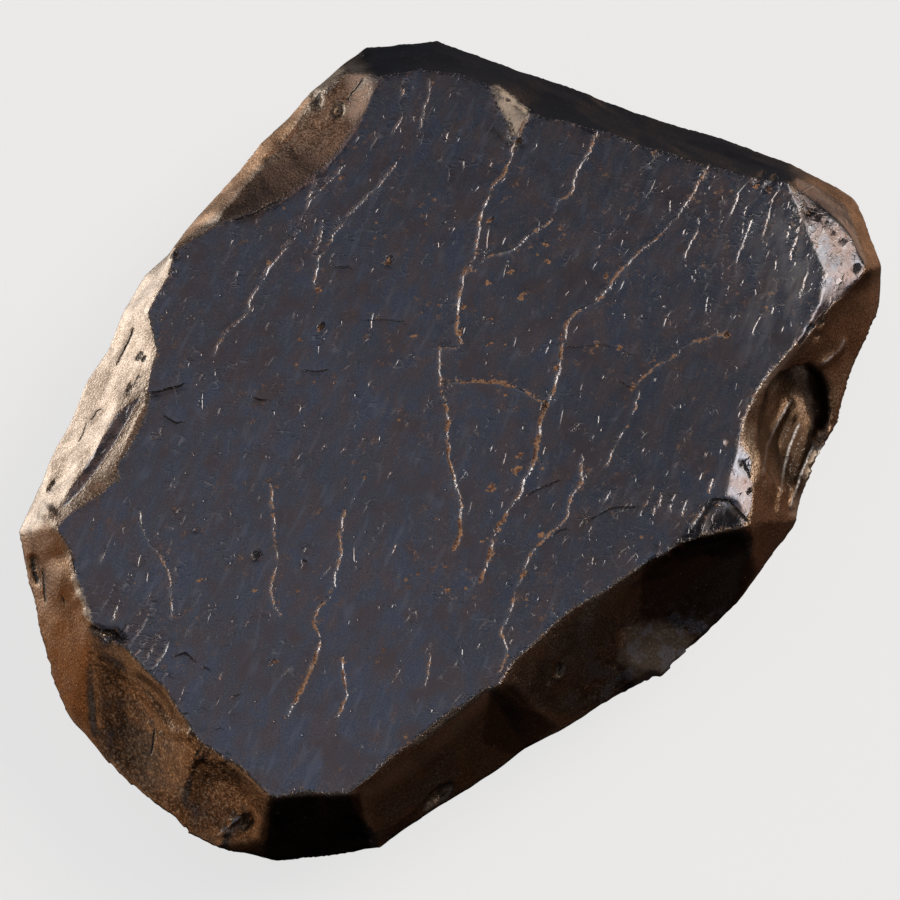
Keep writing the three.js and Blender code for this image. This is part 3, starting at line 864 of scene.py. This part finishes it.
# ---- materials
class Sheet:
    """A material's or world's node tree with short ways to add to it."""

    def __init__(self, tree):
        self.tree = tree

    def add(self, kind, links=(), **settings):
        node = self.tree.nodes.new(kind)
        for name, value in settings.items():
            setattr(node, name, value)
        for socket, value in dict(links).items():
            self.put(node.inputs[socket], value)
        return node

    def put(self, socket, value):
        """Links a socket to another one or sets its value, which for a colour gets a full alpha."""
        if isinstance(value, bpy.types.NodeSocket):
            self.tree.links.new(value, socket)
        elif socket.type == "RGBA":
            socket.default_value = (*value, 1)
        else:
            socket.default_value = value

    def mask(self, name):
        return self.add("ShaderNodeAttribute", attribute_name=name).outputs["Fac"]

    def noise(self, place, size, detail, rough):
        links = {"Vector": place, "Scale": 1 / size, "Detail": detail, "Roughness": rough}
        return self.add("ShaderNodeTexNoise", links).outputs["Fac"]

    def ramp(self, value, low, high, start=0.0, end=1.0):
        links = {"Value": value, "From Min": low, "From Max": high, "To Min": start, "To Max": end}
        return self.add("ShaderNodeMapRange", links, interpolation_type="SMOOTHSTEP").outputs["Result"]

    def band(self, gap, low, high, start=0.0, end=1.0):
        """A ramp by the distance from a line, on both of its sides."""
        return self.ramp(self.math("ABSOLUTE", gap), low, high, start, end)

    def math(self, operation, first, second=0.0, third=0.0):
        return self.add("ShaderNodeMath", {0: first, 1: second, 2: third}, operation=operation).outputs[0]

    def times(self, first, *others):
        for other in others:
            first = self.math("MULTIPLY", first, other)
        return first

    def largest(self, first, *others):
        for other in others:
            first = self.math("MAXIMUM", first, other)
        return first

    def plus(self, total, *parts):
        """A value with others added to it, each one times its factor."""
        for value, factor in parts:
            total = self.math("MULTIPLY_ADD", value, factor, total)
        return total

    def swayed(self, value, noise, reach):
        """A value pushed up and down by a noise, half the reach at most."""
        return self.plus(value, (self.math("SUBTRACT", noise, 0.5), reach))

    def vector(self, operation, links):
        return self.add("ShaderNodeVectorMath", links, operation=operation).outputs[0]

    def mix(self, kind, share, first, second):
        links = {"Factor": share, "A": first, "B": second}
        return self.add("ShaderNodeMix", links, data_type=kind).outputs["Result"]

    def blend(self, share, first, second):
        return self.mix("RGBA", share, first, second)


# Noises through the stone: size in mm, detail and roughness.
NOISES = {
    "broad": (9.0, 1.0, 0.55),
    "blotches": (4.0, 1.0, 0.6),
    "patchy": (2.4, 2.0, 0.6),
    "crumbs": (1.2, 2.0, 0.75),
    "grain": (0.35, 1.0, 0.6),
    "dusty": (0.16, 0.0, 0.7),
    "tarnish": (1.5, 0.0, 0.6),
    "rusting": (7.0, 1.0, 0.5),
}
# Noises drawn out along the grain: turn from it, size along and across it in mm, detail and roughness.
GRAIN_AZIMUTH = 29.0
DRAWN_NOISES = {
    "streaky": (0, 5.0, 2.4, 2.0, 0.65),
    "brushed": (-14, 5.0, 0.22, 1.0, 0.6),
    "smears_and_sheen": (0, 4.5, 1.1, 1.0, 0.6),
    "scratchy": (0, 1.6, 0.4, 0.0, 0.6),
}
FLECK_SIZE = 1.55
# Tints laid over one another: the noise, where it starts and is full, the most that shows and the colour.
BROWN_TINTS = [
    ("patchy", 0.48, 0.75, 0.35, (0.18, 0.125, 0.09)),
    ("brushed", 0.48, 0.68, 0.6, (0.20, 0.14, 0.10)),
    ("grain", 0.52, 0.8, 0.6, (0.52, 0.42, 0.35)),
    ("dusty", 0.50, 0.32, 0.7, (0.13, 0.088, 0.06)),
    ("dusty", 0.55, 0.72, 0.5, (0.60, 0.50, 0.42)),
]
# The two pale tints are painted glints as well as the crumbly stone's own grain.
CRUMB_TINTS = [
    ("crumbs", 0.50, 0.36, 0.75, (0.11, 0.07, 0.045)),
    ("crumbs", 0.56, 0.72, 0.6, (0.56, 0.45, 0.36)),
    ("grain", 0.47, 0.36, 0.6, (0.10, 0.065, 0.04)),
    ("grain", 0.57, 0.70, 0.8, (0.70, 0.58, 0.46)),
]
BLUE_TINTS = [
    ("patchy", 0.5, 0.8, 0.5, (0.205, 0.165, 0.175)),
    ("broad", 0.38, 0.62, 0.4, (0.185, 0.18, 0.20)),
    ("dusty", 0.48, 0.30, 0.42, (0.13, 0.135, 0.16)),
    ("dusty", 0.54, 0.72, 0.34, (0.35, 0.35, 0.39)),
    ("smears_and_sheen", 0.54, 0.76, 0.5, (0.30, 0.325, 0.40)),
    ("blotches", 0.52, 0.68, 0.55, (0.215, 0.165, 0.165)),
]
# Side tints: the pale one is a painted highlight, the brown-black one painted shade, the bluish one partly
# painted shade.
SIDE_PARTS = {"pale": (0.85, 0.76, 0.68), "bluish": (0.085, 0.09, 0.11), "painted_shade": (0.03, 0.018, 0.012)}
BROWN = ((0.30, 0.225, 0.175), (0.36, 0.275, 0.215))
WARMTH = (0.95, 0.66, 0.42)
FLAKE = (0.085, 0.09, 0.12)
BLUE = ((0.188, 0.216, 0.288), (0.246, 0.208, 0.224))
SHEEN_GREY = (0.47, 0.47, 0.50)
SHADED = (0.018, 0.0195, 0.025)
HALO = (0.34, 0.34, 0.38)
PAINTED_GLINT = (0.67, 0.69, 0.75)
WORN = (0.55, 0.48, 0.43)
HIGHLIGHT_BEIGE = (0.86, 0.74, 0.62)
RUST = ((0.22, 0.095, 0.05), (0.62, 0.36, 0.21))
CRACK_SHADE = (0.012, 0.009, 0.008)


class Ore(Sheet):
    """The stone's sheet, with the noises and shares that several of its parts need."""

    def __init__(self, tree):
        super().__init__(tree)
        metres = self.add("ShaderNodeTexCoord").outputs["Object"]
        place = self.vector("SCALE", {0: metres, "Scale": 1 / MM})
        self.noises = {name: self.noise(place, *made) for name, made in NOISES.items()}
        for name, (turn, along, across, detail, rough) in DRAWN_NOISES.items():
            drawn = self.drawn_out(place, GRAIN_AZIMUTH + turn, along, across)
            self.noises[name] = self.noise(drawn, 1.0, detail, rough)
        self.grain = self.noises["grain"]
        self.patchy = self.noises["patchy"]
        flecks = self.add("ShaderNodeTexVoronoi", {"Vector": place, "Scale": 1 / FLECK_SIZE})
        self.fleck_gap = flecks.outputs["Distance"]
        self.fleck_pick = self.add("ShaderNodeSeparateColor", {"Color": flecks.outputs["Color"]}).outputs[0]
        self.polish = self.mask("polish")
        self.polished = self.ramp(self.swayed(self.polish, self.grain, 1.2), 0.35, 0.65)

    def drawn_out(self, place, turn, along, across):
        """Places turned so that the grain runs along X, and scaled so that a cell is along by across."""
        links = {"Vector": place, "Angle": math.radians(-turn)}
        turned = self.add("ShaderNodeVectorRotate", links, rotation_type="Z_AXIS").outputs[0]
        return self.vector("MULTIPLY", {0: turned, 1: (1 / along, 1 / across, 1 / across)})

    def layered(self, colour, tints, *where):
        """A colour with tints laid over it, only where some mask says if one is given."""
        for noise, low, high, most, tint in tints:
            share = self.times(self.ramp(self.noises[noise], low, high, 0.0, most), *where)
            colour = self.blend(share, colour, tint)
        return colour


def side_colour(ore):
    """The brown grained metal of the broken sides, with its parts, among them painted shade and a painted
    highlight.
    """
    brown = ore.layered(ore.blend(ore.ramp(ore.noises["broad"], 0.35, 0.65), *BROWN), BROWN_TINTS)
    brown = ore.blend(ore.mask("warm"), brown, ore.vector("MULTIPLY", {0: brown, 1: WARMTH}))
    brown = ore.layered(brown, CRUMB_TINTS, ore.mask("broken"))
    for name, tint in SIDE_PARTS.items():
        brown = ore.blend(ore.mask(name), brown, tint)
    flakes = ore.times(ore.ramp(ore.patchy, 0.50, 0.62), ore.mask("flaky"))
    return ore.blend(ore.times(flakes, ore.ramp(ore.grain, 0.3, 0.55, 0.3, 0.9)), brown, FLAKE)


def face_colour(ore):
    """The blue-grey metal of the polish, with brown haze, a painted sheen and painted shade."""
    blue = ore.blend(ore.ramp(ore.noises["streaky"], 0.38, 0.66), *BLUE)
    blue = ore.layered(blue, BLUE_TINTS)
    # painted sheen: pale grey streaks on the polish
    painted_sheen = ore.times(ore.mask("painted_sheen"), ore.ramp(ore.noises["smears_and_sheen"], 0.34, 0.60, 0.15, 0.85))
    return ore.blend(ore.mask("shaded"), ore.blend(painted_sheen, blue, SHEEN_GREY), SHADED)


def vein_shares(ore):
    """How much of the raised veins shows as relief, as a pale halo and as a painted glint."""
    near = ore.mask("vein_near")
    gap = ore.swayed(ore.swayed(ore.mask("vein_gap"), ore.grain, 2.4), ore.patchy, 1.6)
    terrace = ore.ramp(gap, -2.0, 2.0, 0.0, 0.3)
    raised = ore.times(ore.math("ADD", ore.band(gap, 2.2, 0.0), terrace), near)
    halo = ore.times(ore.band(gap, 6.0, 1.0, 0.0, 0.4), near)
    tarnish = ore.ramp(ore.noises["tarnish"], 0.36, 0.62, 0.35, 0.9)
    return raised, halo, ore.times(ore.band(gap, 2.9, 0.3), near, tarnish)


def dash_shares(ore):
    """How much of the dashes, each with a hollow beside it, shows as relief and as a painted glint."""
    near = ore.mask("dash_near")
    gap = ore.swayed(ore.mask("dash_gap"), ore.grain, 1.2)
    ridge = ore.band(gap, 1.5, 0.0)
    hollow = ore.band(ore.math("SUBTRACT", gap, 3.0), 2.5, 0.0, 0.0, 0.3)
    return ore.times(ore.math("SUBTRACT", ridge, hollow), near), ore.times(ridge, near, 0.8)


# Pale dull patches, a painted highlight.
def dull_highlight_share(ore):
    dull_highlight = ore.mask("dull_highlight")
    grainy = ore.ramp(ore.swayed(dull_highlight, ore.grain, 2.2), 0.3, 0.7, 0.0, 1.05)
    return ore.times(grainy, dull_highlight, ore.ramp(ore.patchy, 0.36, 0.58, 0.35, 1.0))


def rust_share(ore):
    """Rust along the veins, in spots, as specks and as stains."""
    along = ore.band(ore.swayed(ore.mask("vein_gap"), ore.grain, 5.0), 3.4, 0.8)
    along = ore.swayed(ore.times(ore.mask("rust"), along), ore.grain, 1.3)
    along = ore.ramp(along, 0.23, 0.63, 0.0, 0.9)
    spots = ore.ramp(ore.swayed(ore.mask("rusted"), ore.grain, 1.2), 0.30, 0.55)
    patches = ore.ramp(ore.noises["rusting"], 0.46, 0.62)
    specks = ore.times(ore.ramp(ore.fleck_pick, 0.76, 0.80), ore.ramp(ore.fleck_gap, 0.21, 0.05))
    stains = ore.ramp(ore.noises["crumbs"], 0.56, 0.72)
    fine = ore.ramp(ore.noises["dusty"], 0.35, 0.6, 0.1, 0.55)
    specks = ore.times(specks, patches, ore.polish)
    return ore.largest(along, spots, specks, ore.times(stains, patches, ore.polish, fine))


def crack_share(ore):
    gap = ore.swayed(ore.swayed(ore.mask("crack_gap"), ore.grain, 2.0), ore.patchy, 5.0)
    broken_up = ore.ramp(ore.grain, 0.3, 0.5, 0.25, 1.0)
    return ore.times(ore.mask("crack_near"), broken_up, ore.band(gap, 2.0, 0.5))


def bump_height(ore, vein, dash, crack):
    """Heights in mm that are too fine for the mesh."""
    points = ore.times(ore.ramp(ore.fleck_pick, 0.24, 0.20), ore.ramp(ore.fleck_gap, 0.12, 0.03))
    face = ore.plus(ore.times(dash, 0.045), (vein, 0.11), (ore.noises["scratchy"], 0.02), (points, -0.06))
    side = ore.plus(ore.times(ore.grain, 0.045), (ore.patchy, 0.05))
    side = ore.times(side, ore.plus(1.0, (ore.mask("broken"), 0.7)))
    side = ore.plus(side, (points, -0.05), (vein, 0.10))
    chipped = ore.times(ore.grain, 0.08, ore.mask("rim"))
    bump = ore.math("ADD", ore.mix("FLOAT", ore.polished, side, face), chipped)
    return ore.plus(bump, (crack, -0.2))


def stone_material():
    material = bpy.data.materials.new("polished_iron_ore")
    material.use_nodes = True
    shader = material.node_tree.nodes["Principled BSDF"].inputs
    ore = Ore(material.node_tree)
    vein, halo, vein_glint = vein_shares(ore)
    dash, dash_glint = dash_shares(ore)
    glint = ore.largest(vein_glint, dash_glint)
    glint = ore.times(glint, ore.ramp(ore.grain, 0.30, 0.55, 0.25, 0.95))
    rim_wear = ore.times(ore.ramp(ore.mask("rim"), 0.5, 0.95), ore.ramp(ore.grain, 0.45, 0.65, 0.0, 0.28))
    highlight_patch = dull_highlight_share(ore)
    rust = rust_share(ore)
    crack = crack_share(ore)

    colour = ore.blend(ore.polished, side_colour(ore), face_colour(ore))
    colour = ore.blend(halo, colour, HALO)
    # painted glint on veins, dashes and high ribs
    colour = ore.blend(glint, colour, PAINTED_GLINT)
    colour = ore.blend(rim_wear, colour, WORN)
    # painted highlight: the pale dull patches
    colour = ore.blend(highlight_patch, colour, HIGHLIGHT_BEIGE)
    colour = ore.blend(rust, colour, ore.blend(ore.ramp(ore.grain, 0.38, 0.62), *RUST))
    # painted shade, near black, in cracks and small pits
    ore.put(shader["Base Color"], ore.blend(crack, colour, CRACK_SHADE))

    dull = ore.largest(highlight_patch, rust, crack, ore.mask("matt"))
    ore.put(shader["Metallic"], ore.plus(1.0, (dull, -0.85)))
    side_rough = ore.ramp(ore.patchy, 0.3, 0.7, 0.32, 0.44)
    face_rough = ore.ramp(ore.noises["streaky"], 0.3, 0.7, 0.24, 0.34)
    rough = ore.mix("FLOAT", ore.polished, side_rough, face_rough)
    ore.put(shader["Roughness"], ore.mix("FLOAT", dull, rough, 0.7))

    height = bump_height(ore, vein, dash, crack)
    ridged = ore.add("ShaderNodeBump", {"Height": height, "Distance": MM})
    ore.put(shader["Normal"], ridged.outputs["Normal"])
    return material


# ---- studio
# Soft panels: azimuth, elevation, inner and outer half width in degrees, colour, strength.
PANELS = [
    (105, -18, 12, 28, (1.0, 0.99, 0.94), 3.7),
    (146, -24, 8, 26, (1.0, 0.58, 0.29), 0.46),
    (178, -6, 14, 30, (1.0, 0.64, 0.39), 0.43),
    (-8, 35, 11, 23, (1.0, 0.86, 0.70), 3.2),
    (110, 74, 4, 41, (0.98, 0.98, 1.06), 0.285),
    (86, 27, 6, 16, (1.0, 0.68, 0.52), 1.0),
    (12, -28, 8, 20, (1.0, 0.62, 0.40), 0.75),
    (-75, 38, 6, 18, (1.0, 0.9, 0.88), 0.22),
    (-32, 45, 5, 14, (1.0, 0.93, 0.88), 2.6),
    (-84, -14, 8, 22, (1.0, 0.52, 0.30), 0.12),
    (-36, 0, 8, 26, (1.0, 0.52, 0.32), 0.12),
    (-19, -23, 8, 20, (1.0, 0.62, 0.42), 0.27),
    (-52, -38, 6, 16, (1.0, 0.50, 0.28), 0.11),
    (44, -20, 8, 24, (0.8, 0.85, 1.0), 0.07),
    (45, 18, 8, 28, (0.85, 0.92, 1.1), 0.07),
    (150, 24, 8, 25, (1.0, 0.97, 0.95), 0.12),
    (-130, 28, 12, 42, (0.9, 0.95, 1.1), 0.14),
]
AMBIENT = (0.004, 0.0045, 0.006)
FLOOR_SIDE = 6.0
FLOOR_GREY = (0.3, 0.3, 0.3, 1)
FLOOR_GLOW = 0.72


def direction(azimuth, elevation):
    a, e = math.radians(azimuth), math.radians(elevation)
    return (math.cos(a) * math.cos(e), math.sin(a) * math.cos(e), math.sin(e))


def studio_world():
    world = bpy.data.worlds.new("studio")
    world.use_nodes = True
    sheet = Sheet(world.node_tree)
    toward = sheet.add("ShaderNodeTexCoord").outputs["Generated"]
    total = AMBIENT
    for azimuth, elevation, inner, outer, colour, strength in PANELS:
        links = {0: toward, 1: direction(azimuth, elevation)}
        facing = sheet.add("ShaderNodeVectorMath", links, operation="DOT_PRODUCT").outputs["Value"]
        edge = sheet.ramp(facing, math.cos(math.radians(outer)), math.cos(math.radians(inner)))
        light = [part * strength for part in colour]
        total = sheet.vector("MULTIPLY_ADD", {0: light, 1: edge, 2: total})
    sheet.put(world.node_tree.nodes["Background"].inputs["Color"], total)
    bpy.context.scene.world = world


def pale_floor():
    mesh = bpy.data.meshes.new("floor")
    half = FLOOR_SIDE / 2
    corners = [(-half, -half, 0), (half, -half, 0), (half, half, 0), (-half, half, 0)]
    mesh.from_pydata(corners, [], [(0, 1, 2, 3)])
    floor = bpy.data.objects.new("floor", mesh)
    bpy.context.scene.collection.objects.link(floor)
    material = bpy.data.materials.new("pale_floor")
    material.use_nodes = True
    shader = material.node_tree.nodes["Principled BSDF"]
    shader.inputs["Base Color"].default_value = FLOOR_GREY
    shader.inputs["Roughness"].default_value = 0.9
    shader.inputs["Emission Color"].default_value = (1, 1, 1, 1)
    shader.inputs["Emission Strength"].default_value = FLOOR_GLOW
    mesh.materials.append(material)
    floor.visible_glossy = False
    floor.visible_diffuse = False
    floor.visible_shadow = False


def studio_camera():
    data = bpy.data.cameras.new("camera")
    data.lens = LENS_MM
    data.sensor_width = SENSOR_MM
    data.clip_start = 0.01
    data.clip_end = 20
    camera = bpy.data.objects.new("camera", data)
    bpy.context.scene.collection.objects.link(camera)
    back = Vector(camera_axes()[2])
    camera.location = (Vector(CAMERA_TARGET) + back * CAMERA_DISTANCE) * MM
    camera.rotation_euler = (-back).to_track_quat("-Z", "Y").to_euler()
    bpy.context.scene.camera = camera


stone = build_stone()
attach(stone, "root")
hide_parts(NODE)
studio_world()
pale_floor()
studio_camera()
bpy.context.scene.view_settings.view_transform = "Standard"
